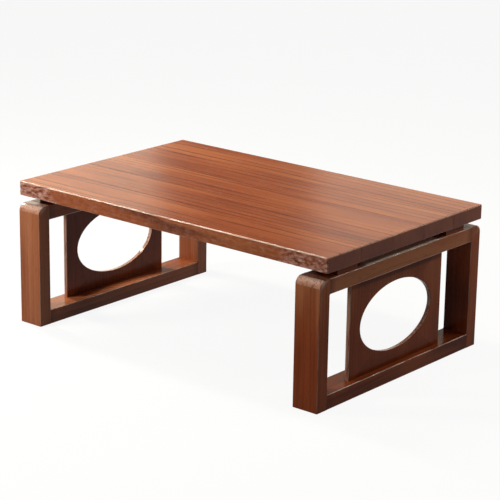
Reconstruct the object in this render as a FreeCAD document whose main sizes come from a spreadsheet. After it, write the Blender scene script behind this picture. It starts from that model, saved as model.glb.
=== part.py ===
# Low tea table in solid wood: an edge glued top on two open leg frames.
# Each leg frame is two posts and two rails, with a thin panel that has an oval window.
# The frame origin is the centre of the table's footprint on the floor, +X along the top, +Z up.
import FreeCAD
import Part
import Sketcher
import os

doc = FreeCAD.newDocument("low_table")

# Driving sizes in millimetres
sheet = doc.addObject("Spreadsheet::Sheet", "dim")
SIZES = (
    ("table_length", 800, "tabletop, end to end"),
    ("table_width", 500, "tabletop, front to back"),
    ("table_height", 300, "floor to the top face"),
    ("top_thickness", 30, "tabletop boards"),
    ("top_round", 2.5, "rounding of the top's upper edges and corners"),
    ("top_under_bevel", 1.0, "eased lower edges of the top"),
    ("tongue_depth", 6, "glue tongue along a board's long edge"),
    ("tongue_slack", 0.1, "glue room beside and past a tongue"),
    ("frame_inset", 8, "top's short end to the leg frame's outer face"),
    ("frame_reach", 10, "leg frame's run past the top's long edges"),
    ("frame_depth", 58, "leg frame's timber, outer face to inner face"),
    ("post_thickness", 30, "leg post, seen from the end of the table"),
    ("rail_thickness", 30, "top and bottom rail, seen from the end of the table"),
    ("corner_radius", 15, "rounded upper corner of a post"),
    ("edge_bevel", 1.2, "eased edges of posts and rails"),
    ("tenon_slack", 0.1, "glue room beside a tenon"),
    ("tenon_end_gap", 0.6, "glue room past the end of a tenon"),
    ("tenon_chamfer", 1.0, "lead-in at the end of a tenon"),
    ("slot_width", 82, "open slot from a post to the panel"),
    ("panel_thickness", 9, "oval panel"),
    ("panel_setback", 14, "leg frame's outer face to the panel's outer face"),
    ("panel_bevel", 1.0, "eased edges of the panel and its window"),
    ("groove_depth", 8, "groove in a rail that holds the panel"),
    ("groove_slack", 0.1, "room beside and past the panel in its groove"),
    ("window_side_margin", 33, "oval window to the panel's upright edge"),
    ("window_rail_margin", 28.5, "oval window to the rail above or below"),
    ("spacer_thickness", 15, "block between leg frame and top"),
    ("spacer_length", 62, "block, measured along the rail"),
    ("spacer_setback", 3.5, "leg frame's faces to the block's faces"),
    ("spacer_bevel", 1.0, "eased upright edges of the block"),
    ("bolt_offset", 26, "panel's upright edge to the bolt beside it"),
    ("bolt_diameter", 8, "plain shank of the furniture bolt"),
    ("bolt_head_diameter", 15, "flat round head"),
    ("bolt_head_height", 4, "flat round head"),
    ("socket_width", 5, "hexagon socket, across flats"),
    ("socket_depth", 2.5, "hexagon socket"),
    ("bolt_slack", 0.25, "room round the shank in rail and block"),
    ("washer_diameter", 18, "flat washer"),
    ("washer_thickness", 1.5, "flat washer"),
    ("washer_slack", 0.2, "room round the shank in the washer"),
    ("counterbore_slack", 1.0, "room round the washer in the rail"),
    ("counterbore_depth", 8, "recess for washer and head in the rail"),
    ("insert_wall", 2, "threaded insert, bore to outside"),
    ("insert_slack", 0.05, "room round the insert and round the bolt in it"),
    ("insert_end_gap", 2, "bottom of the blind hole past the insert"),
)
for row, (alias, number, note) in enumerate(SIZES, start=1):
    sheet.set("A%d" % row, alias)
    sheet.set("B%d" % row, str(number))
    sheet.set("C%d" % row, note)
    sheet.setAlias("B%d" % row, alias)
doc.recompute()

# Counts and shares of the piece that carries the detail
BOARD_COUNT = 5
TONGUE_SHARE = 0.3
TENON_LENGTH_SHARE = 0.66
TENON_WIDTH_SHARE = 0.66
TENON_THICKNESS_SHARE = 0.5
BOLT_REACH_SHARE = 0.5

# Sizes that follow from the driving sizes, as expressions on the sheet
BOARD_WIDTH = "(dim.table_width / %d)" % BOARD_COUNT
TOP_UNDERSIDE = "(dim.table_height - dim.top_thickness)"
FRAME_HEIGHT = "(dim.table_height - dim.top_thickness - dim.spacer_thickness)"
FRAME_CENTRE_X = "(dim.table_length / 2 - dim.frame_inset - dim.frame_depth / 2)"
POST_CENTRE_Y = "(dim.table_width / 2 + dim.frame_reach - dim.post_thickness / 2)"
RAIL_LENGTH = "(dim.table_width + 2 * dim.frame_reach - 2 * dim.post_thickness)"
WINDOW_SPACE = "(%s - 2 * dim.rail_thickness)" % FRAME_HEIGHT
TENON_LENGTH = "(dim.post_thickness * %g)" % TENON_LENGTH_SHARE
TENON_WIDTH = "(dim.frame_depth * %g)" % TENON_WIDTH_SHARE
TENON_THICKNESS = "(dim.rail_thickness * %g)" % TENON_THICKNESS_SHARE
PANEL_WIDTH = "(%s - 2 * dim.slot_width)" % RAIL_LENGTH
PANEL_X = "(dim.frame_depth / 2 - dim.panel_setback - dim.panel_thickness / 2)"
PANEL_HEIGHT = "(%s + 2 * (dim.groove_depth - dim.groove_slack))" % WINDOW_SPACE
BOLT_Y = "(%s / 2 + dim.bolt_offset)" % PANEL_WIDTH
BOLT_SEAT = "(%s - dim.rail_thickness + dim.counterbore_depth)" % FRAME_HEIGHT
BOLT_REACH = "(dim.top_thickness * %g)" % BOLT_REACH_SHARE
BOLT_LENGTH = "(%s + %s - %s + dim.washer_thickness)" % (TOP_UNDERSIDE, BOLT_REACH, BOLT_SEAT)
BOLT_HOLE = "(dim.bolt_diameter + 2 * dim.bolt_slack)"
INSERT_BORE = "(dim.bolt_diameter + 2 * dim.insert_slack)"
INSERT_DIAMETER = "(%s + 2 * dim.insert_wall)" % INSERT_BORE
INSERT_HOLE = "(%s + 2 * dim.insert_slack)" % INSERT_DIAMETER
INSERT_HOLE_DEPTH = "(%s + dim.insert_end_gap)" % BOLT_REACH

# Two lengths closer than this are taken as equal
MATCH = 1e-4


def size(expression):
    """Present value of an expression on the sheet."""
    return float(sheet.evalExpression(expression))


def new_body(name, x="0", y="0", z="0", turn=0):
    """A named sub-part, placed by expressions and turned about the upright axis."""
    body = doc.addObject("PartDesign::Body", name)
    body.Label = name
    upright = FreeCAD.Vector(0, 0, 1)
    body.Placement = FreeCAD.Placement(FreeCAD.Vector(), FreeCAD.Rotation(upright, turn))
    body.setExpression("Placement.Base.x", x)
    body.setExpression("Placement.Base.y", y)
    body.setExpression("Placement.Base.z", z)
    return body


def new_sketch(body, name, role, lift=None):
    """A sketch on one of the body's own origin planes, lifted along the plane's normal."""
    sketch = body.newObject("Sketcher::SketchObject", name)
    plane = [item for item in body.Origin.OriginFeatures if item.Role == role][0]
    sketch.AttachmentSupport = (plane, [""])
    sketch.MapMode = "FlatFace"
    if lift:
        sketch.setExpression(".AttachmentOffset.Base.z", lift)
    return sketch


def constrain(sketch, constraint, expression):
    index = sketch.addConstraint(constraint)
    sketch.setExpression("Constraints[%d]" % index, expression)


def place_point(sketch, curve, point, x, y):
    """Ties a point of a curve to the sketch's origin."""
    if size(x) == 0:
        sketch.addConstraint(Sketcher.Constraint("PointOnObject", curve, point, -2))
    else:
        constrain(sketch, Sketcher.Constraint("DistanceX", -1, 1, curve, point, size(x)), x)
    if size(y) == 0:
        sketch.addConstraint(Sketcher.Constraint("PointOnObject", curve, point, -1))
    else:
        constrain(sketch, Sketcher.Constraint("DistanceY", -1, 1, curve, point, size(y)), y)


def draw_outline(sketch, corners):
    """A closed outline of straight lines through corners given as expressions."""
    spots = [FreeCAD.Vector(size(x), size(y), 0) for x, y in corners]
    first = sketch.GeometryCount
    last = first + len(spots) - 1
    for here, following in zip(spots, spots[1:] + spots[:1]):
        sketch.addGeometry(Part.LineSegment(here, following))
    for line in range(first, last):
        sketch.addConstraint(Sketcher.Constraint("Coincident", line, 2, line + 1, 1))
    sketch.addConstraint(Sketcher.Constraint("Coincident", last, 2, first, 1))
    for line, (x, y) in enumerate(corners, start=first):
        place_point(sketch, line, 1, x, y)


def draw_rectangle(sketch, width, height, x="0", y="0"):
    """A rectangle about a centre."""
    left = "(%s - %s / 2)" % (x, width)
    right = "(%s + %s / 2)" % (x, width)
    low = "(%s - %s / 2)" % (y, height)
    high = "(%s + %s / 2)" % (y, height)
    draw_outline(sketch, ((left, low), (right, low), (right, high), (left, high)))


def draw_circle(sketch, diameter, x="0", y="0"):
    centre = FreeCAD.Vector(size(x), size(y), 0)
    circle = Part.Circle(centre, FreeCAD.Vector(0, 0, 1), size(diameter) / 2)
    curve = sketch.addGeometry(circle)
    place_point(sketch, curve, 3, x, y)
    constrain(sketch, Sketcher.Constraint("Diameter", curve, size(diameter)), diameter)


def draw_oval(sketch, across, height):
    """An ellipse about the sketch's origin, with its longer axis the way it is longer."""
    lying = size(across) >= size(height)
    longer = across if lying else height
    shorter = height if lying else across
    far = FreeCAD.Vector(size(longer) / 2, 0, 0) if lying else FreeCAD.Vector(0, size(longer) / 2, 0)
    near = FreeCAD.Vector(0, size(shorter) / 2, 0) if lying else FreeCAD.Vector(-size(shorter) / 2, 0, 0)
    curve = sketch.addGeometry(Part.Ellipse(far, near, FreeCAD.Vector()))
    sketch.exposeInternalGeometry(curve)
    sketch.addConstraint(Sketcher.Constraint("Coincident", curve, 3, -1, 1))
    sketch.addConstraint(Sketcher.Constraint("Horizontal" if lying else "Vertical", curve + 1))
    constrain(sketch, Sketcher.Constraint("Distance", curve + 1, size(longer)), longer)
    constrain(sketch, Sketcher.Constraint("Distance", curve + 2, size(shorter)), shorter)


def pad(body, sketch, length, centred=False, reversed_way=False):
    feature = body.newObject("PartDesign::Pad", sketch.Name + "_pad")
    feature.Profile = sketch
    feature.SideType = "Symmetric" if centred else "One side"
    feature.Reversed = reversed_way
    feature.setExpression("Length", length)
    feature.recompute(True)
    return feature


def pocket(body, sketch, depth, reversed_way=False):
    """A cut from the sketch's plane, which has to take some wood away."""
    before = body.Tip.Shape.Volume
    feature = body.newObject("PartDesign::Pocket", sketch.Name + "_cut")
    feature.Profile = sketch
    feature.Reversed = reversed_way
    feature.setExpression("Length", depth)
    feature.recompute(True)
    if not feature.Shape.Volume < before:
        raise RuntimeError("%s cuts nothing" % feature.Name)
    return feature


def revolve(body, sketch):
    """A full turn of a profile about the body's upright axis."""
    feature = body.newObject("PartDesign::Revolution", sketch.Name + "_turn")
    feature.Profile = sketch
    feature.ReferenceAxis = (sketch, ["V_Axis"])
    feature.Angle = 360
    feature.recompute(True)
    return feature


def pick_edges(body, wanted):
    """The tip of the body, and the names of its edges for which wanted(middle, edge) holds."""
    base = body.Tip
    names = []
    for number, edge in enumerate(base.Shape.Edges, start=1):
        middle = edge.valueAt((edge.FirstParameter + edge.LastParameter) / 2)
        if wanted(middle, edge):
            names.append("Edge%d" % number)
    return base, names


def round_edges(body, name, radius, wanted):
    """Rounds the picked edges of the body's tip."""
    picked = pick_edges(body, wanted)
    feature = body.newObject("PartDesign::Fillet", name)
    feature.Base = picked
    feature.setExpression("Radius", radius)
    feature.recompute(True)
    return feature


def bevel_edges(body, name, width, wanted):
    """Planes a narrow bevel along the picked edges of the body's tip."""
    picked = pick_edges(body, wanted)
    feature = body.newObject("PartDesign::Chamfer", name)
    feature.Base = picked
    feature.setExpression("Size", width)
    feature.recompute(True)
    return feature


def near(value, target):
    return abs(value - target) < MATCH


def is_upright(edge):
    """True for a straight edge along Z."""
    return near(edge.tangentAt(edge.FirstParameter).cross(FreeCAD.Vector(0, 0, 1)).Length, 0)


# Tabletop: five boards side by side, glued along tongue and groove edges
def make_board(index):
    name = "top_board_%d" % (index + 1)
    place = "(%d - (%d - 1) / 2) * %s" % (index, BOARD_COUNT, BOARD_WIDTH)
    board = new_body(name, y=place, z=TOP_UNDERSIDE)
    is_front = index == 0
    is_back = index == BOARD_COUNT - 1
    edge = "(%s / 2)" % BOARD_WIDTH
    tongue_low = "(dim.top_thickness * %g)" % ((1 - TONGUE_SHARE) / 2)
    tongue_high = "(dim.top_thickness * %g)" % ((1 + TONGUE_SHARE) / 2)
    corners = [("-" + edge, "0"), (edge, "0")]
    if not is_back:
        tip = "(%s + dim.tongue_depth)" % edge
        corners += [(edge, tongue_low), (tip, tongue_low), (tip, tongue_high), (edge, tongue_high)]
    corners += [(edge, "dim.top_thickness"), ("-" + edge, "dim.top_thickness")]
    if not is_front:
        floor = "(dim.tongue_depth + dim.tongue_slack - %s)" % edge
        groove_low = "(%s - dim.tongue_slack)" % tongue_low
        groove_high = "(%s + dim.tongue_slack)" % tongue_high
        corners += [("-" + edge, groove_high), (floor, groove_high)]
        corners += [(floor, groove_low), ("-" + edge, groove_low)]
    section = new_sketch(board, name + "_section", "YZ_Plane")
    draw_outline(section, corners)
    pad(board, section, "dim.table_length", centred=True)

    board_y = size(place)
    for side_name, side in (("left", -1), ("right", 1)):
        for end_name, end in (("front", -1), ("back", 1)):
            hole_y = end * size(BOLT_Y) - board_y
            reach = size(edge) + size(INSERT_HOLE) / 2
            tongue_reach = 0 if is_back else size("dim.tongue_depth")
            if hole_y <= -reach or hole_y >= reach + tongue_reach:
                continue
            hole = new_sketch(board, "%s_%s_%s_hole" % (name, side_name, end_name), "XY_Plane")
            hole_x = "(%d * %s)" % (side, FRAME_CENTRE_X)
            draw_circle(hole, INSERT_HOLE, hole_x, "(%d * %s - %s)" % (end, BOLT_Y, place))
            pocket(board, hole, INSERT_HOLE_DEPTH, reversed_way=True)

    half_length = size("dim.table_length / 2")
    thickness = size("dim.top_thickness")
    half_width = size(edge)

    def on_end(middle, edge):
        return near(abs(middle.x), half_length) and not is_upright(edge)

    def on_outer_side(middle):
        return (is_front and near(middle.y, -half_width)) or (is_back and near(middle.y, half_width))

    def upper(middle, edge):
        at_top = near(middle.z, thickness) and (on_end(middle, edge) or on_outer_side(middle))
        at_corner = near(abs(middle.x), half_length) and on_outer_side(middle) and is_upright(edge)
        return at_top or at_corner

    def lower(middle, edge):
        near_corner = abs(middle.y) > half_width - size("dim.top_round")
        return near(middle.z, 0) and (on_end(middle, edge) or on_outer_side(middle) or
                                      (near_corner and abs(middle.x) > half_length - size("dim.top_round")))

    round_edges(board, name + "_round", "dim.top_round", upper)
    bevel_edges(board, name + "_under_bevel", "dim.top_under_bevel", lower)
    return board


# Leg post: upright timber with two mortises on its inner side, its local +Y facing outwards
def make_post(name, side, end):
    post = new_body(name, "%d * %s" % (side, FRAME_CENTRE_X), "%d * %s" % (end, POST_CENTRE_Y),
                    turn=0 if end > 0 else 180)
    outer = "(dim.post_thickness / 2)"
    profile = new_sketch(post, name + "_profile", "YZ_Plane")
    draw_outline(profile, (("-" + outer, "0"), (outer, "0"), (outer, FRAME_HEIGHT), ("-" + outer, FRAME_HEIGHT)))
    pad(post, profile, "dim.frame_depth", centred=True)

    outer_y = size(outer)
    top_z = size(FRAME_HEIGHT)
    round_edges(post, name + "_corner", "dim.corner_radius",
                lambda middle, edge: near(middle.y, outer_y) and near(middle.z, top_z))

    mortises = new_sketch(post, name + "_mortises", "XZ_Plane", lift=outer)
    mortise_width = "(%s + 2 * dim.tenon_slack)" % TENON_WIDTH
    mortise_height = "(%s + 2 * dim.tenon_slack)" % TENON_THICKNESS
    for level in ("(dim.rail_thickness / 2)", "(%s - dim.rail_thickness / 2)" % FRAME_HEIGHT):
        draw_rectangle(mortises, mortise_width, mortise_height, y=level)
    pocket(post, mortises, "%s + dim.tenon_end_gap" % TENON_LENGTH)

    # The two inner edges are eased only between the rails
    inner = new_sketch(post, name + "_inner_bevel", "XY_Plane", lift="dim.rail_thickness")
    for hand in (-1, 1):
        face = "(%d * dim.frame_depth / 2)" % hand
        face_in = "(%d * (dim.frame_depth / 2 - dim.edge_bevel))" % hand
        draw_outline(inner, ((face_in, "-" + outer), (face, "-" + outer), (face, "(dim.edge_bevel - %s)" % outer)))
    pocket(post, inner, WINDOW_SPACE, reversed_way=True)

    face_x = size("dim.frame_depth / 2")

    def outline(middle, edge):
        on_rim = near(middle.y, outer_y) or near(middle.z, 0) or near(middle.z, top_z)
        on_corner = not isinstance(edge.Curve, Part.Line)
        outer_foot = near(middle.y, outer_y) and near(middle.z, 0)
        return (near(abs(middle.x), face_x) and (on_rim or on_corner)) or outer_foot

    bevel_edges(post, name + "_outline", "dim.edge_bevel", outline)
    return post


# Rail: level timber between the posts, with a tenon at each end and a stopped groove for the panel
def make_rail(name, side, is_top):
    level = "(%s - dim.rail_thickness / 2)" % FRAME_HEIGHT if is_top else "dim.rail_thickness / 2"
    rail = new_body(name, "%d * %s" % (side, FRAME_CENTRE_X), z=level, turn=0 if side > 0 else 180)
    timber = new_sketch(rail, name + "_section", "XZ_Plane")
    draw_rectangle(timber, "dim.frame_depth", "dim.rail_thickness")
    pad(rail, timber, RAIL_LENGTH, centred=True)

    face_x = size("dim.frame_depth / 2")
    bevel_edges(rail, name + "_edges", "dim.edge_bevel",
                lambda middle, edge: near(middle.y, 0) and near(abs(middle.x), face_x))

    tenons = new_sketch(rail, name + "_tenons", "XZ_Plane")
    draw_rectangle(tenons, TENON_WIDTH, TENON_THICKNESS)
    pad(rail, tenons, "%s + 2 * %s" % (RAIL_LENGTH, TENON_LENGTH), centred=True)

    tenon_end = size("%s / 2 + %s" % (RAIL_LENGTH, TENON_LENGTH))
    bevel_edges(rail, name + "_tenon_lead", "dim.tenon_chamfer",
                lambda middle, edge: near(abs(middle.y), tenon_end))

    inward = -1 if is_top else 1
    groove = new_sketch(rail, name + "_groove", "XY_Plane", lift="(%d * dim.rail_thickness / 2)" % inward)
    groove_width = "(dim.panel_thickness + 2 * dim.groove_slack)"
    groove_run = "(%s + 2 * dim.groove_slack)" % PANEL_WIDTH
    draw_rectangle(groove, groove_width, groove_run, x=PANEL_X)
    pocket(rail, groove, "dim.groove_depth", reversed_way=is_top)

    if is_top:
        recess_width = "(dim.washer_diameter + 2 * dim.counterbore_slack)"
        recess = new_sketch(rail, name + "_recess", "XY_Plane", lift="(-dim.rail_thickness / 2)")
        bore = new_sketch(rail, name + "_bore", "XY_Plane", lift="(-dim.rail_thickness / 2)")
        for end in (-1, 1):
            draw_circle(recess, recess_width, y="(%d * %s)" % (end, BOLT_Y))
            draw_circle(bore, BOLT_HOLE, y="(%d * %s)" % (end, BOLT_Y))
        pocket(rail, recess, "dim.counterbore_depth", reversed_way=True)
        pocket(rail, bore, "dim.rail_thickness", reversed_way=True)
    return rail


# Oval panel: thin upright board in the rails' grooves, nearer the frame's outer face
def make_panel(name, side):
    panel = new_body(name, "%d * (%s + %s)" % (side, FRAME_CENTRE_X, PANEL_X), z="%s / 2" % FRAME_HEIGHT)
    outline = new_sketch(panel, name + "_outline", "YZ_Plane")
    draw_rectangle(outline, PANEL_WIDTH, PANEL_HEIGHT)
    draw_oval(outline, "(%s - 2 * dim.window_side_margin)" % PANEL_WIDTH,
              "(%s - 2 * dim.window_rail_margin)" % WINDOW_SPACE)
    pad(panel, outline, "dim.panel_thickness", centred=True)

    half_width = size("%s / 2" % PANEL_WIDTH)
    face_x = size("dim.panel_thickness / 2")

    def eased(middle, edge):
        on_side = near(abs(middle.y), half_width)
        on_window = not isinstance(edge.Curve, Part.Line)
        return near(abs(middle.x), face_x) and (on_side or on_window)

    bevel_edges(panel, name + "_easing", "dim.panel_bevel", eased)
    return panel


# Spacer: block that keeps the top clear of the leg frame, bored for the bolt
def make_spacer(name, side, end):
    spacer = new_body(name, "%d * %s" % (side, FRAME_CENTRE_X), "%d * %s" % (end, BOLT_Y), FRAME_HEIGHT)
    plan = new_sketch(spacer, name + "_plan", "XY_Plane")
    draw_rectangle(plan, "(dim.frame_depth - 2 * dim.spacer_setback)", "dim.spacer_length")
    draw_circle(plan, BOLT_HOLE)
    pad(spacer, plan, "dim.spacer_thickness")
    corner_x = size("dim.frame_depth / 2 - dim.spacer_setback")
    bevel_edges(spacer, name + "_corners", "dim.spacer_bevel",
                lambda middle, edge: near(abs(middle.x), corner_x) and is_upright(edge))
    return spacer


# Bolt: flat headed furniture bolt with a hexagon socket, driven up from the recess in the top rail
def make_bolt(name, side, end):
    bearing = "(%s - dim.washer_thickness)" % BOLT_SEAT
    bolt = new_body(name, "%d * %s" % (side, FRAME_CENTRE_X), "%d * %s" % (end, BOLT_Y), bearing)
    head = "(dim.bolt_head_diameter / 2)"
    shank = "(dim.bolt_diameter / 2)"
    profile = new_sketch(bolt, name + "_profile", "XZ_Plane")
    draw_outline(profile, (
        ("0", "(-dim.bolt_head_height)"),
        (head, "(-dim.bolt_head_height)"),
        (head, "0"),
        (shank, "0"),
        (shank, BOLT_LENGTH),
        ("0", BOLT_LENGTH),
    ))
    revolve(bolt, profile)
    socket = new_sketch(bolt, name + "_socket", "XY_Plane", lift="(-dim.bolt_head_height)")
    corner = "(dim.socket_width / 2 / cos(30))"
    draw_outline(socket, [("(%s * cos(%d))" % (corner, turn), "(%s * sin(%d))" % (corner, turn))
                          for turn in (30, 90, 150, 210, 270, 330)])
    pocket(bolt, socket, "dim.socket_depth", reversed_way=True)
    return bolt


# Washer: flat ring between the bolt's head and the floor of the recess
def make_washer(name, side, end):
    seat = "(%s - dim.washer_thickness)" % BOLT_SEAT
    washer = new_body(name, "%d * %s" % (side, FRAME_CENTRE_X), "%d * %s" % (end, BOLT_Y), seat)
    ring = new_sketch(washer, name + "_ring", "XY_Plane")
    draw_circle(ring, "dim.washer_diameter")
    draw_circle(ring, "(dim.bolt_diameter + 2 * dim.washer_slack)")
    pad(washer, ring, "dim.washer_thickness")
    return washer


# Insert: steel sleeve screwed into a blind hole under the top, which takes the bolt
def make_insert(name, side, end):
    insert = new_body(name, "%d * %s" % (side, FRAME_CENTRE_X), "%d * %s" % (end, BOLT_Y), TOP_UNDERSIDE)
    sleeve = new_sketch(insert, name + "_sleeve", "XY_Plane")
    draw_circle(sleeve, INSERT_DIAMETER)
    draw_circle(sleeve, INSERT_BORE)
    pad(insert, sleeve, BOLT_REACH)
    return insert


SIDES = (("left", -1), ("right", 1))
ENDS = (("front", -1), ("back", 1))

parts = [make_board(index) for index in range(BOARD_COUNT)]
for side_name, side in SIDES:
    for end_name, end in ENDS:
        corner_name = "%s_%s" % (side_name, end_name)
        parts.append(make_post(corner_name + "_post", side, end))
        parts.append(make_spacer(corner_name + "_spacer", side, end))
        parts.append(make_bolt(corner_name + "_bolt", side, end))
        parts.append(make_washer(corner_name + "_washer", side, end))
        parts.append(make_insert(corner_name + "_insert", side, end))
    parts.append(make_rail(side_name + "_bottom_rail", side, is_top=False))
    parts.append(make_rail(side_name + "_top_rail", side, is_top=True))
    parts.append(make_panel(side_name + "_oval_panel", side))

doc.recompute()
for item in doc.Objects:
    if "Invalid" in item.State or "Error" in item.State:
        raise RuntimeError("%s failed: %s" % (item.Name, item.State))
for part in parts:
    if part.Shape.isNull() or not part.Shape.isValid():
        raise RuntimeError("%s has no valid shape" % part.Label)
    if len(part.Shape.Solids) != 1:
        raise RuntimeError("%s is not one solid" % part.Label)

os.makedirs("parts", exist_ok=True)
for part in parts:
    part.Shape.exportStep(os.path.join("parts", part.Label + ".step"))
    print("%s %.1f mm3" % (part.Label, part.Shape.Volume))
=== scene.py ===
import math
import random
import bmesh
import bpy
from mathutils import Matrix, Vector, noise


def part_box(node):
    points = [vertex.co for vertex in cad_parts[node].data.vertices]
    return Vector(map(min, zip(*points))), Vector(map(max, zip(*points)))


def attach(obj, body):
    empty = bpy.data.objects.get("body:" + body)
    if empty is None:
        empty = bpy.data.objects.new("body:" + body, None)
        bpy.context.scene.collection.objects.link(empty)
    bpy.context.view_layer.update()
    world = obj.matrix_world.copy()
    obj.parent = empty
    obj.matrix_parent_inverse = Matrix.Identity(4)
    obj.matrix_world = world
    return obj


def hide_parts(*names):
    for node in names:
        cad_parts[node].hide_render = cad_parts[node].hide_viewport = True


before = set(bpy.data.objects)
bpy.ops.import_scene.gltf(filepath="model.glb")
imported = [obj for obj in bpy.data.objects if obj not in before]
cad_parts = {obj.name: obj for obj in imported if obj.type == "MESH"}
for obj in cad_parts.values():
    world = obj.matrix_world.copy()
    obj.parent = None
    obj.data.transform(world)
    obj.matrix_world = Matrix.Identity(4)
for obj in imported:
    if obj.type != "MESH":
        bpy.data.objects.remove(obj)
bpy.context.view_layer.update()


# Leg posts: four upright timbers, planed square, with the upper outer corner rounded over.
# They are solid hardwood under a red-brown stain and a satin lacquer, and the rails' tenons
# are glued into them.
POSTS = ("left_front_post", "left_back_post", "right_front_post", "right_back_post")
CORNER_RADIUS = 0.015
CORNER_STEPS = 10
SANDED_EDGE = 0.0016
FOOT_EDGE = 0.0011
TIMBER_STEP = 0.02
HAIR = 1e-5
SHARP_TURN = 0.5
SMOOTH_TURN = math.radians(38)
OFF_FACE = 3e-5
END_SKIN = 0.0004


def squared_timber(low, high):
    """A planed timber with sharp edges, from its lowest corner to its highest."""
    timber = bmesh.new()
    bmesh.ops.create_cube(timber, size=1)
    for vertex in timber.verts:
        share = vertex.co + Vector((0.5, 0.5, 0.5))
        vertex.co = [low[k] + share[k] * (high[k] - low[k]) for k in range(3)]
    return timber


def score(timber, axis, places, faces=None):
    """Lines across the timber at places along an axis, so that it can be bent or worn there."""
    across = Vector([float(k == axis) for k in range(3)])
    for place in places:
        chosen = [face for face in timber.faces if faces is None or faces(face)]
        # A dict keeps the order that it is given, and a set doesn't
        edges = dict.fromkeys(edge for face in chosen for edge in face.edges)
        corners = dict.fromkeys(vertex for face in chosen for vertex in face.verts)
        bmesh.ops.bisect_plane(timber, geom=[*corners, *edges, *chosen], dist=1e-7,
                               plane_co=across * place, plane_no=across)


def spread(start, end, step):
    """Even places between two ends, both left out."""
    count = max(1, round((end - start) / step))
    return [start + (end - start) * index / count for index in range(1, count)]


def clamped(value):
    return max(0.0, min(1.0, value))


def close_to(value, target):
    return abs(value - target) < 2 * HAIR


def middle_of(edge):
    return (edge.verts[0].co + edge.verts[1].co) / 2


def runs_along(edge, axis):
    way = (edge.verts[1].co - edge.verts[0].co).normalized()
    return abs(way[axis]) > 0.999


def is_sharp(edge):
    return edge.calc_face_angle(0) > SHARP_TURN


def sand(timber, width, steps, wanted):
    """Rounds the edges for which wanted(edge) holds."""
    chosen = [edge for edge in timber.edges if wanted(edge)]
    bmesh.ops.bevel(timber, geom=chosen, offset=width, offset_type="OFFSET", segments=steps,
                    profile=0.5, affect="EDGES", clamp_overlap=False)


def wood_piece(name, timber, grain, wide, material, pith=(0.06, 0.09), handled=0.0025,
               whole=None, edge_wear_and_highlight=1.0, tone_and_shading=0.0, stain_and_shading=None, painted_highlight=None, torn_and_sheen=None):
    """Turns a shaped timber into the piece that stands for the node of that name.

    grain and wide are the axes that its fibres and its wider face follow, and pith is how far
    the middle of the trunk lay from it, across the wider face and behind it. Edges get paler by
    wear, up to handled from a face of whole, the box of the glued-up work, where that isn't
    the piece's own; this is real rubbing and also a painted highlight. A higher tone is a paler
    stain: besides a little random difference, it is painted light and shade set for each piece.
    For a place, stained says how much darker it is made, by stain gathered in seams and by
    painted shade, and below 0 how much paler by painted light; polished says where a painted
    highlight is laid on and the lacquer is glossier; and torn says how ragged the fibres are,
    where 1 is ragged and 2 is a painted pale sheen.
    """
    bmesh.ops.recalc_face_normals(timber, faces=timber.faces)
    mesh = bpy.data.meshes.new(name)
    timber.to_mesh(mesh)
    timber.free()
    mesh.shade_smooth()
    mesh.set_sharp_from_angle(angle=SMOOTH_TURN)
    piece = bpy.data.objects.new(name, mesh)
    bpy.context.scene.collection.objects.link(piece)
    weights = piece.modifiers.new("planed_faces", "WEIGHTED_NORMAL")
    weights.keep_sharp = True

    trunk = random.Random(name)
    thin = 3 - grain - wide
    low = Vector([min(vertex.co[k] for vertex in mesh.vertices) for k in range(3)])
    high = Vector([max(vertex.co[k] for vertex in mesh.vertices) for k in range(3)])
    centre = (low + high) / 2
    box = whole or (low, high)
    along = trunk.uniform(0, 20)
    across = pith[0] * trunk.uniform(0.6, 1.4) * trunk.choice((-1, 1))
    behind = pith[1] * trunk.uniform(0.7, 1.3)
    tone_and_shading += trunk.uniform(-0.05, 0.05)
    marks = {"fibre_place": [], "worn_and_highlighted": [], "tone_and_shading": [], "torn_and_sheen": [], "end_grain": []}
    for vertex in mesh.vertices:
        spot = vertex.co - centre
        place = (spot[grain] + along, spot[wide] + across, spot[thin] + behind)
        near_faces = sorted(min(abs(vertex.co[k] - box[0][k]), abs(box[1][k] - vertex.co[k]))
                            for k in range(3))
        to_end = min(vertex.co[grain] - low[grain], high[grain] - vertex.co[grain])
        on_edge = 0.0
        if near_faces[0] > OFF_FACE and near_faces[1] < handled:
            on_edge = edge_wear_and_highlight / 2 if to_end < handled else edge_wear_and_highlight
        marks["fibre_place"].extend(place)
        # This mark holds real rubbing along edges and painted highlights
        marks["worn_and_highlighted"].append(max(on_edge, painted_highlight(vertex.co) if painted_highlight else 0.0))
        # This mark holds painted light and shade, besides random differences and stain in seams
        marks["tone_and_shading"].append(tone_and_shading - (stain_and_shading(vertex.co) if stain_and_shading else 0.0))
        marks["end_grain"].append(1.0 if to_end < END_SKIN else 0.0)
        # This mark holds ragged fibres and, above 1, a painted pale sheen
        marks["torn_and_sheen"].append(torn_and_sheen(vertex.co) if torn_and_sheen else 0.0)
    for mark, values in marks.items():
        is_place = mark == "fibre_place"
        layer = mesh.attributes.new(mark, "FLOAT_VECTOR" if is_place else "FLOAT", "POINT")
        layer.data.foreach_set("vector" if is_place else "value", values)
    mesh.materials.append(material)
    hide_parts(name)
    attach(piece, "root")
    return piece


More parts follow.
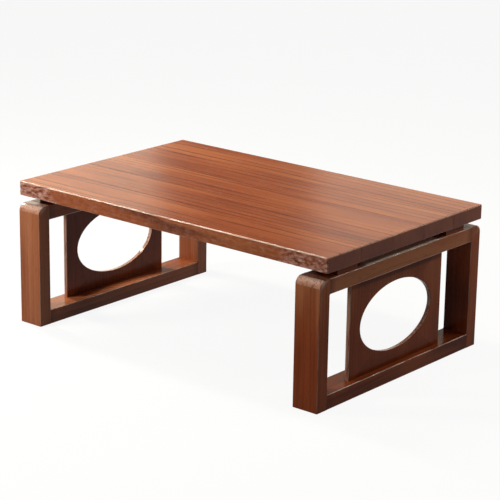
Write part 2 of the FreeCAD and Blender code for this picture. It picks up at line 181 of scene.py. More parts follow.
def stained_wood(name, dark, middle, light, amber, rubbed_and_highlight, gloss, shine, relief, figure, year,
                 year_line, polish):
    """Lacquered hardwood: growth rings, long streaks, open pores, and paler worn edges.

    The stain goes from dark over middle to light, with amber clouds in it, and rubbed is the
    colour where the stain is gone from edges, which is also a painted highlight on edges, the
    posts' rounded corners and the windows' rims. gloss is the lacquer's roughness and shine its
    index of refraction. figure is how strongly the streaks show, year is how much a growth ring
    adds, year_line is how dark its late wood is, and polish is how bright hands have left the
    lacquer on those edges.
    """
    material = bpy.data.materials.new(name)
    material.use_nodes = True
    nodes = material.node_tree.nodes
    links = material.node_tree.links
    surface = nodes["Principled BSDF"]
    late_wood_colour = [0.6 * share for share in dark[:3]] + [1]
    torn_fibres = (0.80, 0.48, 0.42, 1)
    # A painted pale sheen, laid where the ragged-fibre mark goes above 1
    painted_sheen_colour = (0.88, 0.82, 0.74, 1)

    def node(kind, **settings):
        made = nodes.new(kind)
        for key, value in settings.items():
            setattr(made, key, value)
        return made

    def feed(value, socket):
        if hasattr(value, "is_output"):
            links.new(value, socket)
        else:
            socket.default_value = value

    def sums(operation, *values):
        made = node("ShaderNodeMath", operation=operation)
        for index, value in enumerate(values):
            feed(value, made.inputs[index])
        return made.outputs[0]

    def scaled(value, size):
        return sums("MULTIPLY", value, size)

    def plus(total, value, size):
        return sums("ADD", total, scaled(value, size))

    def swung(total, value, size):
        """A total that a noise takes up and down by half of its size."""
        return sums("ADD", total, sums("MULTIPLY_ADD", value, size, -0.5 * size))

    def vectors(operation, first, second):
        made = node("ShaderNodeVectorMath", operation=operation)
        feed(first, made.inputs[0])
        feed(second, made.inputs[1])
        return made.outputs[0]

    def wavy(place, along, across, detail=3.0, roughness=0.55):
        """A noise node with so many waves to the metre along the fibres and across them."""
        made = node("ShaderNodeTexNoise", noise_dimensions="3D")
        feed(vectors("MULTIPLY", place, (along, across, across)), made.inputs["Vector"])
        made.inputs["Scale"].default_value = 1.0
        made.inputs["Detail"].default_value = detail
        made.inputs["Roughness"].default_value = roughness
        return made

    def grainy(place, along, across, detail=3.0, roughness=0.55):
        """Noise between 0 and 1, mostly 0.35 to 0.65, drawn out along the fibres."""
        return wavy(place, along, across, detail, roughness).outputs["Fac"]

    def eased(value, low, high):
        """A value's smooth rise from 0, at low, to 1, at high."""
        made = node("ShaderNodeMapRange", interpolation_type="SMOOTHSTEP")
        feed(value, made.inputs["Value"])
        made.inputs["From Min"].default_value = low
        made.inputs["From Max"].default_value = high
        return made.outputs["Result"]

    def blend(share, first, second):
        made = node("ShaderNodeMix", data_type="RGBA")
        feed(share, made.inputs["Factor"])
        feed(first, made.inputs["A"])
        feed(second, made.inputs["B"])
        return made.outputs["Result"]

    def mark(attribute, output="Fac"):
        return node("ShaderNodeAttribute", attribute_name=attribute).outputs[output]

    place = mark("fibre_place", "Vector")
    worn_and_highlighted = mark("worn_and_highlighted")
    torn_and_sheen = mark("torn_and_sheen")
    end_grain = mark("end_grain")
    tone_and_shading = mark("tone_and_shading")

    # The trunk is not quite straight, so its rings wander as they run along
    wander = (0.0, 0.045, 0.045)
    bend = wavy(place, 1.2, 5.0, roughness=0.5)
    lean = vectors("SUBTRACT", bend.outputs["Color"], (0.5, 0.5, 0.5))
    crooked = vectors("ADD", place, vectors("MULTIPLY", lean, wander))
    radius = node("ShaderNodeVectorMath", operation="LENGTH")
    feed(vectors("MULTIPLY", crooked, (0.0, 1.0, 1.0)), radius.inputs[0])
    years = sums("DIVIDE", radius.outputs["Value"], year)
    years = plus(years, grainy(place, 0.6, 9.0, detail=1.0), 1.6)
    season = sums("FRACT", years)
    dense_years = eased(grainy(place, 1.6, 26.0), 0.4, 0.54)
    late_wood = sums("MULTIPLY", eased(season, 0.7, 0.97), dense_years)

    streak = grainy(crooked, 2.2, 260.0, detail=4.0, roughness=0.62)
    band = grainy(crooked, 1.1, 55.0)
    cloud = grainy(place, 2.4, 12.0, detail=2.0)
    pore = eased(grainy(crooked, 45.0, 1500.0, detail=2.0), 0.58, 0.7)

    # The stain: how pale it came out, from streak to season, and then its colours
    depth = sums("MULTIPLY_ADD", streak, figure, 0.5 - 0.5 * figure)
    depth = swung(depth, band, figure)
    depth = swung(depth, cloud, 1.0)
    depth = swung(depth, season, -0.16 * figure)
    # The piece's mark adds painted light and shade here, besides random differences
    depth = sums("ADD", depth, tone_and_shading)
    deep_stain = blend(eased(depth, 0.05, 0.5), dark, middle)
    colour = blend(eased(depth, 0.45, 1.0), deep_stain, light)
    colour = blend(scaled(eased(cloud, 0.45, 0.65), 0.5), colour, amber)
    line_strength = sums("MULTIPLY_ADD", end_grain, -0.65 * year_line, year_line)
    colour = blend(sums("MULTIPLY", late_wood, line_strength), colour, late_wood_colour)
    face_grain = sums("SUBTRACT", 1.0, end_grain)
    colour = blend(sums("MULTIPLY", pore, scaled(face_grain, 0.45)), colour, dark)
    colour = blend(scaled(end_grain, 0.66), colour, dark)

    # Where the stain is gone from edges and where a painted highlight is laid on, where the fibres
    # are ragged, and where a painted pale sheen is laid on
    rub_and_highlight = sums("MULTIPLY", worn_and_highlighted, eased(grainy(place, 20.0, 360.0), 0.32, 0.54))
    colour = blend(scaled(rub_and_highlight, 0.8), colour, rubbed_and_highlight)
    rag = eased(grainy(place, 70.0, 170.0, detail=4.0, roughness=0.65), 0.36, 0.68)
    patch = eased(grainy(place, 26.0, 60.0, roughness=0.6), 0.38, 0.6)
    ragged = blend(rag, dark, torn_fibres)
    ragged = blend(scaled(patch, 0.4), ragged, middle)
    colour = blend(scaled(torn_and_sheen, 0.88), colour, ragged)
    colour = blend(eased(torn_and_sheen, 1.0, 2.0), colour, painted_sheen_colour)
    links.new(colour, surface.inputs["Base Color"])

    dull = sums("MULTIPLY_ADD", streak, 0.2, gloss - 0.1)
    dull = plus(dull, pore, 0.12)
    dull = plus(dull, torn_and_sheen, 0.2)
    dull = plus(dull, worn_and_highlighted, -0.08)
    # Seen almost edge on, the brushed lacquer scatters what it would otherwise mirror
    glance = node("ShaderNodeLayerWeight")
    glance.inputs["Blend"].default_value = 0.5
    dull = plus(dull, eased(glance.outputs["Facing"], 0.8, 0.93), 0.8)
    links.new(dull, surface.inputs["Roughness"])
    links.new(scaled(worn_and_highlighted, polish), surface.inputs["Coat Weight"])
    surface.inputs["Coat Roughness"].default_value = 0.12
    surface.inputs["IOR"].default_value = shine

    height = sums("MULTIPLY_ADD", streak, 0.5, scaled(late_wood, 0.4))
    height = sums("SUBTRACT", height, scaled(pore, 0.6))
    height = sums("ADD", height, sums("MULTIPLY", torn_and_sheen, scaled(rag, 4.0)))
    bump = node("ShaderNodeBump")
    bump.inputs["Strength"].default_value = relief
    bump.inputs["Distance"].default_value = 0.0003
    links.new(height, bump.inputs["Height"])
    links.new(bump.outputs["Normal"], surface.inputs["Normal"])
    return material


SHINE = {"left": 1.2, "right": 1.11}
# How much paler the posts' edges get, by real rubbing and by a painted highlight
POST_EDGE_WEAR_AND_HIGHLIGHT = 0.3
# Painted light and shade: each post's colour is made paler or darker to suit how brightly it is lit
OTHER_POST_PAINTED_LIGHT = 0.04
POST_PAINTED_LIGHT = {"left_front_post": 0.36, "left_back_post": 0.42, "right_back_post": -0.16}
# Painted shade and light: the posts are darker at the foot and paler towards the top
FOOT_PAINTED_SHADE = 0.08
FADE_FROM = 0.45
POST_TOP_PAINTED_LIGHT = {"left": 0.24, "right": 0.44}
# A painted highlight on the posts' rounded upper corner and flat top, stronger on the left frame
CROWN_PAINTED_HIGHLIGHT = {"left": 0.5, "right": 0.1}
CROWN_TURN = 0.5
CROWN_SPAN = 0.9

leg_wood = {}
for side in ("left", "right"):
    # The rubbed-through colour is also a painted highlight on edges and corners
    leg_wood[side] = stained_wood(
        side + "_leg_wood", dark=(0.11, 0.020, 0.006, 1), middle=(0.29, 0.064, 0.020, 1),
        light=(0.47, 0.175, 0.080, 1), amber=(0.38, 0.100, 0.032, 1), rubbed_and_highlight=(0.84, 0.66, 0.58, 1),
        gloss=0.17, shine=SHINE[side], relief=0.15, figure=0.4, year=0.010, year_line=0.14,
        polish=0.8)
RAIL_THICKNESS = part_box("left_bottom_rail")[1].z

for name in POSTS:
    side = name.split("_")[0]
    low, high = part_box(name)
    is_back = low.y > 0
    outer = high.y if is_back else low.y
    inner = low.y if is_back else high.y
    middle_x = (low.x + high.x) / 2
    post = squared_timber(low, high)
    sand(post, CORNER_RADIUS, CORNER_STEPS,
         lambda edge: close_to(middle_of(edge).y, outer) and close_to(middle_of(edge).z, high.z))

    def outline(edge):
        """The frame's outline and the post's inner edges, on both faces of the frame."""
        spot = middle_of(edge)
        on_face = close_to(abs(spot.x - middle_x), (high.x - low.x) / 2)
        on_floor = close_to(spot.z, low.z)
        inner_end = close_to(spot.y, inner) and not runs_along(edge, 2)
        return on_face and not on_floor and not inner_end and is_sharp(edge)

    def foot(edge):
        spot = middle_of(edge)
        return close_to(spot.z, low.z) and not close_to(spot.y, inner) and is_sharp(edge)

    sand(post, SANDED_EDGE, 4, outline)
    sand(post, FOOT_EDGE, 2, foot)
    joints = (low.z + RAIL_THICKNESS, high.z - RAIL_THICKNESS)
    score(post, 2, (joints[0], joints[0] + SANDED_EDGE, joints[1] - SANDED_EDGE, joints[1]))
    # Where a rail is joined, the post keeps its square edge
    for vertex in post.verts:
        spot = vertex.co
        beside_rail = spot.z < joints[0] + HAIR or spot.z > joints[1] - HAIR
        if beside_rail and abs(spot.y - inner) < SANDED_EDGE - HAIR:
            spot.y = inner
            nearest_face = low.x if spot.x < middle_x else high.x
            if abs(spot.x - nearest_face) < SANDED_EDGE + HAIR and spot.z > low.z + FOOT_EDGE:
                spot.x = nearest_face
    bmesh.ops.remove_doubles(post, verts=post.verts, dist=1e-6)
    bmesh.ops.dissolve_degenerate(post, edges=post.edges, dist=1e-6)
    score(post, 2, spread(low.z, high.z, TIMBER_STEP))

    def crown_highlight(spot):
        """How strong a painted highlight is on the rounded upper corner and flat top, from 0 to 1.
        """
        from_front = abs(spot.y - outer)
        from_top = high.z - spot.z
        if from_top > CORNER_RADIUS:
            return 0.0
        if from_front > CORNER_RADIUS:
            return CROWN_PAINTED_HIGHLIGHT[side] if from_top < HAIR else 0.0
        turn = math.atan2(CORNER_RADIUS - from_front, CORNER_RADIUS - from_top)
        return max(0.0, 1 - abs(turn - CROWN_TURN) / CROWN_SPAN)

    def painted_shade_below(spot):
        """Painted shade at the foot, which turns to painted light towards the top."""
        rise = max(0.0, spot.z / high.z - FADE_FROM) / (1 - FADE_FROM)
        return FOOT_PAINTED_SHADE - POST_TOP_PAINTED_LIGHT[side] * rise

    wood_piece(name, post, 2, 0, leg_wood[side], edge_wear_and_highlight=POST_EDGE_WEAR_AND_HIGHLIGHT,
               tone_and_shading=POST_PAINTED_LIGHT.get(name, OTHER_POST_PAINTED_LIGHT), stain_and_shading=painted_shade_below, painted_highlight=crown_highlight)


# Rails: a bottom and a top timber in each leg frame, tenoned between the posts and sanded
# flush with them. Each has a stopped groove for the panel, and the top rail has two
# recesses with a bore, where the bolts go up into the tabletop.
GROOVE_ROOM = 0.0001
GROOVE_DEPTH = 0.008
RECESS_ROOM = 0.001
BOLT_HOLE_RADIUS = 0.00425
DRILL_SIDES = 40
DRILL_PAST = 0.001
# Painted light and shade: each rail's colour is made paler or darker to suit how brightly it is lit
RAIL_PAINTED_LIGHT = {"left_bottom_rail": 0.22, "right_bottom_rail": 0.0,
              "left_top_rail": 0.3, "right_top_rail": 0.62}
# Painted shade towards the back of the right bottom rail
BACK_END_PAINTED_SHADE = 0.4
# A painted pale sheen on the top rails between the spacers, standing for light caught in the slit
# under the tabletop
PAINTED_SHEEN = 2
PAINTED_SHEEN_HALF = 0.14
PAINTED_SHEEN_FADE = 0.03
PAINTED_SHEEN_HEIGHT = 0.2549


def extrude(timber, faces, way):
    """Moves faces along a way, with new sides behind them."""
    grown = bmesh.ops.extrude_face_region(timber, geom=faces)
    corners = [item for item in grown["geom"] if isinstance(item, bmesh.types.BMVert)]
    bmesh.ops.translate(timber, vec=way, verts=corners)


def bore(piece, centre, radius, bottom, top):
    """A round hole, drilled straight up from bottom to top."""
    drill_shape = bmesh.new()
    bmesh.ops.create_cone(drill_shape, cap_ends=True, segments=DRILL_SIDES, radius1=radius,
                          radius2=radius, depth=top - bottom)
    bmesh.ops.translate(drill_shape, verts=drill_shape.verts,
                        vec=(centre.x, centre.y, (bottom + top) / 2))
    mesh = bpy.data.meshes.new("drill")
    drill_shape.to_mesh(mesh)
    drill_shape.free()
    drill = bpy.data.objects.new("drill", mesh)
    bpy.context.scene.collection.objects.link(drill)
    cut = piece.modifiers.new("bore", "BOOLEAN")
    cut.operation = "DIFFERENCE"
    cut.object = drill
    cut.solver = "EXACT"
    piece.modifiers.move(len(piece.modifiers) - 1, 0)
    with bpy.context.temp_override(object=piece, active_object=piece, selected_objects=[piece]):
        bpy.ops.object.modifier_apply(modifier="bore")
    bpy.data.objects.remove(drill)
    bpy.data.meshes.remove(mesh)


for side in ("left", "right"):
    panel_low, panel_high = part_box(side + "_oval_panel")
    post_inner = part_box(side + "_back_post")[0].y
    for level in ("bottom", "top"):
        name = "%s_%s_rail" % (side, level)
        low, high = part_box(name)
        low.y = -post_inner
        high.y = post_inner
        rail = squared_timber(low, high)
        score(rail, 1, (panel_low.y - GROOVE_ROOM, panel_high.y + GROOVE_ROOM))
        score(rail, 0, (panel_low.x - GROOVE_ROOM, panel_high.x + GROOVE_ROOM))
        grooved_side = high.z if level == "bottom" else low.z
        inwards = -GROOVE_DEPTH if level == "bottom" else GROOVE_DEPTH
        bed = [face for face in rail.faces
               if close_to(face.calc_center_median().z, grooved_side)
               and panel_low.x < face.calc_center_median().x < panel_high.x
               and abs(face.calc_center_median().y) < panel_high.y]
        extrude(rail, bed, (0, 0, inwards))
        bmesh.ops.delete(rail, geom=bed, context="FACES_ONLY")
        corners = [(x, z) for x in (low.x, high.x) for z in (low.z, high.z)]

        def arris(edge):
            spot = middle_of(edge)
            on_corner = any(close_to(spot.x, x) and close_to(spot.z, z) for x, z in corners)
            return on_corner and runs_along(edge, 1)

        sand(rail, SANDED_EDGE, 4, arris)
        score(rail, 1, spread(low.y, high.y, TIMBER_STEP))

        def painted_sheen_strip(spot):
            """A painted pale sheen on the frame's top between the spacers, where only a slit shows
            it.
            """
            if spot.z <= PAINTED_SHEEN_HEIGHT:
                return 0.0
            return PAINTED_SHEEN * clamped((PAINTED_SHEEN_HALF - abs(spot.y)) / PAINTED_SHEEN_FADE)

        def painted_shade_behind(spot):
            """Painted shade, darker towards the rail's back end."""
            return BACK_END_PAINTED_SHADE * clamped((spot.y + post_inner) / (2 * post_inner))

        joined = (low - Vector((0, 1, 0)), high + Vector((0, 1, 0)))
        piece = wood_piece(name, rail, 1, 0, leg_wood[side], whole=joined,
                           tone_and_shading=RAIL_PAINTED_LIGHT[name], torn_and_sheen=painted_sheen_strip,
                           stain_and_shading=painted_shade_behind if name == "right_bottom_rail" else None)
        if level == "top":
            for end in ("front", "back"):
                bolt_low, bolt_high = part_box("%s_%s_bolt" % (side, end))
                washer_low, washer_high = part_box("%s_%s_washer" % (side, end))
                spot = (bolt_low + bolt_high) / 2
                recess_radius = (washer_high.x - washer_low.x) / 2 + RECESS_ROOM
                bore(piece, spot, recess_radius, low.z - DRILL_PAST, washer_high.z)
                bore(piece, spot, BOLT_HOLE_RADIUS, washer_high.z - DRILL_PAST, high.z + DRILL_PAST)


# Oval panels: a thin upright board in each leg frame, held in the rails' grooves nearer the
# frame's outer face, with an oval window sawn out and its edge sanded round.
WINDOW_SIDE_MARGIN = 0.033
WINDOW_RAIL_MARGIN = 0.0285
WINDOW_POINTS = 144
PANEL_EDGE = 0.0013
PANEL_HANDLED = 0.0028
PANEL_PITH = (0.16, 0.05)
RIM_SPAN = 1.002
# A painted highlight on the window's rim and, weaker, on the panel's upright edges
UPRIGHT_EDGE_HIGHLIGHT = 0.6
# Painted light: the left panel is paler below its window and the right one above its window
LOWER_PAINTED_LIGHT = 0.3
UPPER_PAINTED_LIGHT = 0.2
PALER_FROM = -0.2
TINY = 1e-9

panel_wood = {}
for side in ("left", "right"):
    # The rubbed-through colour is also a painted highlight on the window's rim and edges
    panel_wood[side] = stained_wood(
        side + "_panel_wood", dark=(0.09, 0.016, 0.005, 1), middle=(0.25, 0.053, 0.017, 1),
        light=(0.42, 0.140, 0.062, 1), amber=(0.32, 0.082, 0.026, 1), rubbed_and_highlight=(0.62, 0.42, 0.34, 1),
        gloss=0.22, shine=SHINE[side], relief=0.15, figure=0.4, year=0.008, year_line=0.2,
        polish=0.3)
    name = side + "_oval_panel"
    low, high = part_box(name)
    rail_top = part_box(side + "_bottom_rail")[1].z
    rail_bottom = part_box(side + "_top_rail")[0].z
    centre = Vector((high.x, 0, (rail_top + rail_bottom) / 2))
    half_across = high.y - WINDOW_SIDE_MARGIN
    half_tall = (rail_bottom - rail_top) / 2 - WINDOW_RAIL_MARGIN
    half_y = high.y
    half_z = (high.z - low.z) / 2
    panel = bmesh.new()
    window_ring = []
    outer_ring = []
    for index in range(WINDOW_POINTS):
        turn = math.tau * index / WINDOW_POINTS
        toward = Vector((0, half_across * math.cos(turn), half_tall * math.sin(turn)))
        window_ring.append(panel.verts.new(centre + toward))
        angle = math.atan2(toward.z, toward.y)
        reach = min(half_y / max(TINY, abs(math.cos(angle))),
                    half_z / max(TINY, abs(math.sin(angle))))
        spot = Vector((0, reach * math.cos(angle), reach * math.sin(angle)))
        outer_ring.append(panel.verts.new(centre + spot))
    # The nearest of the outer points moves to each corner of the board
    for y in (-half_y, half_y):
        for z in (-half_z, half_z):
            corner = centre + Vector((0, y, z))
            nearest = min(outer_ring, key=lambda vertex: (vertex.co - corner).length)
            nearest.co = corner
    for index in range(WINDOW_POINTS):
        following = (index + 1) % WINDOW_POINTS
        panel.faces.new((window_ring[index], window_ring[following],
                         outer_ring[following], outer_ring[index]))
    extrude(panel, panel.faces[:], (low.x - high.x, 0, 0))
    bmesh.ops.recalc_face_normals(panel, faces=panel.faces)

    def sawn_edge(edge):
        spot = middle_of(edge)
        on_face = close_to(spot.x, low.x) or close_to(spot.x, high.x)
        in_groove = close_to(abs(spot.z - centre.z), half_z)
        return on_face and not in_groove and is_sharp(edge)

    def rim_highlight(spot):
        """A painted highlight on the window's rim and, weaker, on the upright edges; the lacquer
        there is glossier too.
        """
        around = math.hypot(spot.y / half_across, (spot.z - centre.z) / half_tall)
        if around < RIM_SPAN:
            return 1.0
        return UPRIGHT_EDGE_HIGHLIGHT if abs(spot.y) > half_y - HAIR else 0.0

    def painted_light_on_panel(spot):
        """Painted light, paler below the left window and above the right one."""
        rise = (spot.z - centre.z) / half_z
        if side == "left":
            return -LOWER_PAINTED_LIGHT * max(0.0, -rise)
        return -UPPER_PAINTED_LIGHT * clamped(rise - PALER_FROM)

    sand(panel, PANEL_EDGE, 3, sawn_edge)
    wood_piece(name, panel, 2, 1, panel_wood[side], pith=PANEL_PITH,
               handled=PANEL_HANDLED, stain_and_shading=painted_light_on_panel, painted_highlight=rim_highlight)


# Spacers: short blocks between each leg frame and the tabletop, set in a little from the
# frame's faces and bored for the bolt, so that the top seems to float above the frames.
BLOCK_EDGE = 0.0012

for side in ("left", "right"):
    for end in ("front", "back"):
        name = "%s_%s_spacer" % (side, end)
        low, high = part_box(name)
        spacer = squared_timber(low, high)
        sand(spacer, BLOCK_EDGE, 3, lambda edge: runs_along(edge, 2))
        piece = wood_piece(name, spacer, 1, 0, leg_wood[side])
        bolt_low, bolt_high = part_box("%s_%s_bolt" % (side, end))
        spot = (bolt_low + bolt_high) / 2
        bore(piece, spot, BOLT_HOLE_RADIUS, low.z - DRILL_PAST, high.z + DRILL_PAST)


# Bolts, washers and threaded inserts: zinc plated steel, turned and pressed. Only the bolts'
# heads and the washers show, from below, in the recesses of the top rails.
SPANGLE_SCALE = 420
SPANGLE_DETAIL = 4
PLATING_STOPS = ((0.35, (0.42, 0.41, 0.38, 1)), (0.7, (0.68, 0.68, 0.66, 1)))
PLATING_ROUGHNESS = (0.24, 0.48)

zinc_steel = bpy.data.materials.new("zinc_steel")
zinc_steel.use_nodes = True
steel_nodes = zinc_steel.node_tree.nodes
steel_links = zinc_steel.node_tree.links
steel = steel_nodes["Principled BSDF"]
steel.inputs["Metallic"].default_value = 1.0
steel_place = steel_nodes.new("ShaderNodeTexCoord")
spangle = steel_nodes.new("ShaderNodeTexNoise")
spangle.inputs["Scale"].default_value = SPANGLE_SCALE
spangle.inputs["Detail"].default_value = SPANGLE_DETAIL
plating = steel_nodes.new("ShaderNodeValToRGB")
for stop, (position, zinc) in zip(plating.color_ramp.elements, PLATING_STOPS):
    stop.position = position
    stop.color = zinc
haze = steel_nodes.new("ShaderNodeMapRange")
haze.inputs["To Min"].default_value = PLATING_ROUGHNESS[0]
haze.inputs["To Max"].default_value = PLATING_ROUGHNESS[1]
steel_links.new(steel_place.outputs["Object"], spangle.inputs["Vector"])
steel_links.new(spangle.outputs["Fac"], plating.inputs["Fac"])
steel_links.new(spangle.outputs["Fac"], haze.inputs["Value"])
steel_links.new(plating.outputs["Color"], steel.inputs["Base Color"])
steel_links.new(haze.outputs["Result"], steel.inputs["Roughness"])
for side in ("left", "right"):
    for end in ("front", "back"):
        for fastener in ("bolt", "washer", "insert"):
            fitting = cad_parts["%s_%s_%s" % (side, end, fastener)]
            for slot in fitting.material_slots:
                slot.material = zinc_steel


# Tabletop: five boards glued side by side into one slab, planed level, with the upper edge
# rounded over by hand. The front edge is left rougher towards both ends, where the tool tore
# the grain, and the seams between the boards show as faint lines.
BOARD_COUNT = 5
BOARD_STEP = 0.04
BOARD_PITH = (0.24, 0.08)
BOARD_HANDLED = 0.004
TOP_EDGE = 0.0026
UNDER_EDGE = 0.0012
SEAM_EDGE = 0.0005
SEAM_SHADE = 0.0024
SEAM_DARKER = 0.55
# Painted light on the front edge, paler towards its right half
EDGE_PAINTED_LIGHT = 0.34
FRONT_DEPTH = TOP_EDGE + 0.0005
TORN_LENGTHS = (0.11, 0.12)
TORN_DEPTH = 0.0011
TORN_STEP = 0.0022
TORN_SKIN = 0.0016
TORN_BELOW = 0.0024
TORN_RISE = 4
TORN_FADE = 0.03
TEAR_SHARE = 0.9
PIT_SHARE = 0.8
BITE_LEVEL = 0.12
SCRAPED = 0.2

# The rubbed-through colour is also a painted highlight along the upper edge
top_wood = stained_wood(
    "tabletop_wood", dark=(0.15, 0.027, 0.007, 1), middle=(0.34, 0.078, 0.020, 1),
    light=(0.50, 0.155, 0.048, 1), amber=(0.46, 0.130, 0.032, 1), rubbed_and_highlight=(0.88, 0.64, 0.52, 1),
    gloss=0.18, shine=1.19, relief=0.12, figure=0.62, year=0.017, year_line=0.82, polish=0.2)
slab_low, slab_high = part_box("top_board_1")
slab_high.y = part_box("top_board_%d" % BOARD_COUNT)[1].y
board_width = (slab_high.y - slab_low.y) / BOARD_COUNT


def tear_front(board, low, high):
    """Roughens a board's front edge towards both ends, as a blunt tool tears the fibres."""

    def near_front(face):
        return face.calc_center_median().y < low.y + FRONT_DEPTH

    def waves(spot, along, upright, layer):
        """A layer of noise from -1 to 1, with so many waves to the metre along and up the edge."""
        return noise.noise(Vector((spot.x * along, layer, spot.z * upright)))

    left_length, right_length = TORN_LENGTHS
    score(board, 0, spread(low.x + TOP_EDGE, low.x + left_length, TORN_STEP), near_front)
    score(board, 0, spread(high.x - right_length, high.x - TOP_EDGE, TORN_STEP), near_front)
    score(board, 2, spread(low.z, high.z, TORN_STEP), near_front)
    for vertex in board.verts:
        spot = vertex.co
        run = (low.x + left_length - spot.x) / left_length
        if spot.x >= 0:
            run = (spot.x - high.x + right_length) / right_length
        if spot.y > low.y + FRONT_DEPTH or run <= 0:
            continue
        tears = waves(spot, 120, 260, 7.3)
        pits = waves(spot, 330, 420, 1.9)
        bite = max(0.0, tears * TEAR_SHARE + pits * PIT_SHARE + BITE_LEVEL)
        spot.y += TORN_DEPTH * bite * min(1.0, run * TORN_RISE)


for number in range(1, BOARD_COUNT + 1):
    name = "top_board_%d" % number
    low = Vector((slab_low.x, slab_low.y + board_width * (number - 1), slab_low.z))
    high = Vector((slab_high.x, low.y + board_width, slab_high.z))
    is_front = number == 1
    is_back = number == BOARD_COUNT
    board = squared_timber(low, high)

    def on_long_side(spot):
        return (is_front and close_to(spot.y, low.y)) or (is_back and close_to(spot.y, high.y))

    def at_end(spot):
        return close_to(abs(spot.x), high.x)

    def upper(edge):
        spot = middle_of(edge)
        on_rim = on_long_side(spot) or (at_end(spot) and runs_along(edge, 1))
        upright = runs_along(edge, 2) and at_end(spot) and on_long_side(spot)
        return (close_to(spot.z, high.z) and on_rim) or upright

    def lower(edge):
        spot = middle_of(edge)
        at_corner = abs(spot.x) > high.x - TOP_EDGE and abs(spot.y) > slab_high.y - TOP_EDGE
        on_rim = on_long_side(spot) or (at_end(spot) and runs_along(edge, 1)) or at_corner
        return close_to(spot.z, low.z) and on_rim and is_sharp(edge)

    def seam(edge):
        spot = middle_of(edge)
        at_front_seam = not is_front and close_to(spot.y, low.y)
        at_back_seam = not is_back and close_to(spot.y, high.y)
        return (at_front_seam or at_back_seam) and is_sharp(edge)

    sand(board, TOP_EDGE, 5, upper)
    sand(board, UNDER_EDGE, 2, lower)
    sand(board, SEAM_EDGE, 1, seam)
    if is_front:
        tear_front(board, low, high)
    if not is_front:
        score(board, 1, [low.y + SEAM_SHADE])
    if not is_back:
        score(board, 1, [high.y - SEAM_SHADE])
    score(board, 0, spread(low.x, high.x, BOARD_STEP))

    def seam_stain_and_painted_light(spot):
        """Stain gathers in the shallow groove between two boards, and painted light makes the front
        edge paler towards its right half.
        """
        if is_front and spot.y < low.y + UNDER_EDGE:
            return -EDGE_PAINTED_LIGHT * clamped((spot.x - low.x) / (high.x - low.x) * 2)
        nearest_seam = slab_low.y + round((spot.y - slab_low.y) / board_width) * board_width
        is_inside = abs(nearest_seam) < slab_high.y - board_width / 2
        in_groove = is_inside and abs(spot.y - nearest_seam) < SEAM_EDGE + HAIR
        return SEAM_DARKER if in_groove else 0.0

    def raggedness(spot):
        """How rough the front edge was left at a place, from 0 to 1."""
        if spot.y > slab_low.y + TORN_SKIN or spot.z > slab_high.z - TORN_BELOW:
            return 0.0
        left_run = (slab_low.x + TORN_LENGTHS[0] - spot.x) / TORN_FADE
        right_run = (spot.x - slab_high.x + TORN_LENGTHS[1]) / TORN_FADE
        return max(SCRAPED, min(1.0, max(left_run, right_run)))

    wood_piece(name, board, 0, 1, top_wood, pith=BOARD_PITH,
               handled=BOARD_HANDLED, whole=(slab_low, slab_high), stain_and_shading=seam_stain_and_painted_light,
               torn_and_sheen=raggedness if is_front else None)


# Studio: a plain pale floor that keeps the shadow, a white surround, soft lamps round the
# table, two cards far behind it that the lacquer mirrors, and the camera where the photograph
# was taken from.
FLOOR_HALF = 20
FLOOR_GLOW = 0.91
HORIZON = (0.14, 0.18)


def seen_directly(nodes, links):
    """1 where a ray comes from the camera, off a gloss or through glass, and 0 elsewhere."""
    path = nodes.new("ShaderNodeLightPath")
    seen = path.outputs["Is Camera Ray"]
    for kind in ("Is Glossy Ray", "Is Transmission Ray"):
        either = nodes.new("ShaderNodeMath")
        either.operation = "MAXIMUM"
        links.new(seen, either.inputs[0])
        links.new(path.outputs[kind], either.inputs[1])
        seen = either.outputs[0]
    return seen


floor_corners = [(-FLOOR_HALF, -FLOOR_HALF, 0), (FLOOR_HALF, -FLOOR_HALF, 0),
                 (FLOOR_HALF, FLOOR_HALF, 0), (-FLOOR_HALF, FLOOR_HALF, 0)]
floor_mesh = bpy.data.meshes.new("floor")
floor_mesh.from_pydata(floor_corners, [], [(0, 1, 2, 3)])
floor = bpy.data.objects.new("floor", floor_mesh)
bpy.context.scene.collection.objects.link(floor)
paper = bpy.data.materials.new("floor_paper")
paper.use_nodes = True
paper_nodes = paper.node_tree.nodes
paper_links = paper.node_tree.links
matt = paper_nodes["Principled BSDF"]
matt.inputs["Base Color"].default_value = (0.16, 0.15, 0.13, 1)
matt.inputs["Roughness"].default_value = 1.0
matt.inputs["Specular IOR Level"].default_value = 0.0
pale = paper_nodes.new("ShaderNodeBsdfDiffuse")
pale.inputs["Color"].default_value = (0.95, 0.95, 0.95, 1)
glow = paper_nodes.new("ShaderNodeEmission")
glow.inputs["Strength"].default_value = 1.0
shadowed = paper_nodes.new("ShaderNodeMixShader")
shadowed.inputs[0].default_value = FLOOR_GLOW
paper_mix = paper_nodes.new("ShaderNodeMixShader")
paper_links.new(pale.outputs[0], shadowed.inputs[1])
paper_links.new(glow.outputs[0], shadowed.inputs[2])
paper_links.new(seen_directly(paper_nodes, paper_links), paper_mix.inputs[0])
paper_links.new(matt.outputs[0], paper_mix.inputs[1])
paper_links.new(shadowed.outputs[0], paper_mix.inputs[2])
paper_links.new(paper_mix.outputs[0], paper_nodes["Material Output"].inputs["Surface"])
floor_mesh.materials.append(paper)

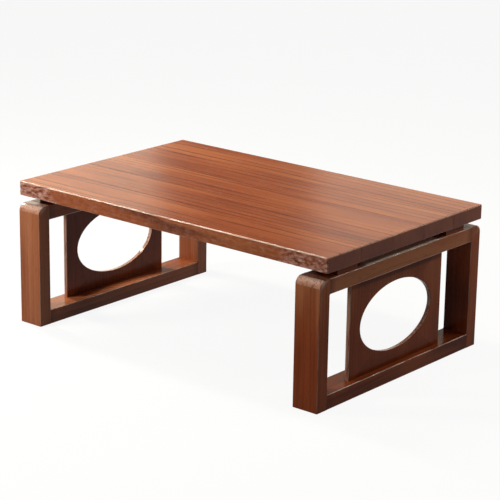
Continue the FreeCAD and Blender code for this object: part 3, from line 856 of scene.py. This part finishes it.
world = bpy.data.worlds.new("studio")
bpy.context.scene.world = world
world.use_nodes = True
sky_nodes = world.node_tree.nodes
sky_links = world.node_tree.links
dim = sky_nodes["Background"]
dim.inputs["Color"].default_value = (1.0, 0.95, 0.86, 1)
dim.inputs["Strength"].default_value = 0.10
white = sky_nodes.new("ShaderNodeBackground")
white.inputs["Color"].default_value = (1.0, 1.0, 1.0, 1)
white.inputs["Strength"].default_value = 1.0
sky_place = sky_nodes.new("ShaderNodeTexCoord")
sky_height = sky_nodes.new("ShaderNodeSeparateXYZ")
horizon = sky_nodes.new("ShaderNodeMapRange")
horizon.inputs["From Min"].default_value = HORIZON[0]
horizon.inputs["From Max"].default_value = HORIZON[1]
horizon.inputs["To Min"].default_value = 1.0
horizon.inputs["To Max"].default_value = 0.0
backdrop = sky_nodes.new("ShaderNodeMath")
backdrop.operation = "MULTIPLY"
sky_mix = sky_nodes.new("ShaderNodeMixShader")
sky_links.new(sky_place.outputs["Generated"], sky_height.inputs[0])
sky_links.new(sky_height.outputs["Z"], horizon.inputs["Value"])
sky_links.new(seen_directly(sky_nodes, sky_links), backdrop.inputs[0])
sky_links.new(horizon.outputs["Result"], backdrop.inputs[1])
sky_links.new(backdrop.outputs[0], sky_mix.inputs[0])
sky_links.new(dim.outputs[0], sky_mix.inputs[1])
sky_links.new(white.outputs[0], sky_mix.inputs[2])
sky_links.new(sky_mix.outputs[0], sky_nodes["World Output"].inputs["Surface"])


def soft_light(name, place, aim, width, height, watts, colour):
    """A rectangular softbox that faces a point and isn't seen by the camera."""
    lamp = bpy.data.lights.new(name, "AREA")
    lamp.shape = "RECTANGLE"
    lamp.size = width
    lamp.size_y = height
    lamp.energy = watts
    lamp.color = colour
    holder = bpy.data.objects.new(name, lamp)
    holder.location = place
    holder.rotation_euler = (Vector(aim) - Vector(place)).to_track_quat("-Z", "Y").to_euler()
    holder.visible_camera = False
    bpy.context.scene.collection.objects.link(holder)


WARM = (1.0, 0.96, 0.86)
GOLDEN = (1.0, 0.93, 0.74)
CREAM = (1.0, 0.95, 0.8)
soft_light("front_softbox", (-1.15, -1.35, 1.1), (0, 0, 0.2), 0.45, 0.45, 24, WARM)
soft_light("left_softbox", (-1.4, 0.0, 1.9), (0, 0, 0.2), 0.2, 1.2, 36, WARM)
soft_light("back_softbox", (1.08, 1.05, 1.05), (1.08, 1.05, 0), 0.14, 0.9, 8.7, WARM)
soft_light("overhead_softbox", (0.6, -0.3, 1.9), (0.1, 0, 0.3), 1.0, 1.0, 7, WARM)
soft_light("left_card", (-5.57, 4.53, 2.2), (-0.3, -0.1, 0.3), 1.7, 2.2, 20, GOLDEN)
soft_light("right_card", (-3.35, 6.03, 2.2), (0.3, 0, 0.3), 1.84, 2.2, 14, CREAM)

CAMERA_PLACE = (2.3666, -2.8297, 1.2898)
CAMERA_YAW = math.radians(39.79)
CAMERA_PITCH = math.radians(16.77)
CAMERA_ROLL = math.radians(0.90)
FOCAL_PIXELS = 1892.1
PHOTO_PIXELS = 500
camera_data = bpy.data.cameras.new("camera")
camera_data.sensor_width = 36
camera_data.lens = FOCAL_PIXELS * camera_data.sensor_width / PHOTO_PIXELS
camera_data.clip_end = 100
camera = bpy.data.objects.new("camera", camera_data)
ahead = Vector((-math.sin(CAMERA_YAW) * math.cos(CAMERA_PITCH),
                math.cos(CAMERA_YAW) * math.cos(CAMERA_PITCH), -math.sin(CAMERA_PITCH)))
level = Vector((math.cos(CAMERA_YAW), math.sin(CAMERA_YAW), 0))
upright = level.cross(ahead)
right = math.cos(CAMERA_ROLL) * level + math.sin(CAMERA_ROLL) * upright
up = math.cos(CAMERA_ROLL) * upright - math.sin(CAMERA_ROLL) * level
turned = Matrix((right, up, -ahead)).transposed().to_4x4()
camera.matrix_world = Matrix.Translation(CAMERA_PLACE) @ turned
bpy.context.scene.collection.objects.link(camera)
bpy.context.scene.camera = camera
bpy.context.scene.view_settings.view_transform = "Standard"
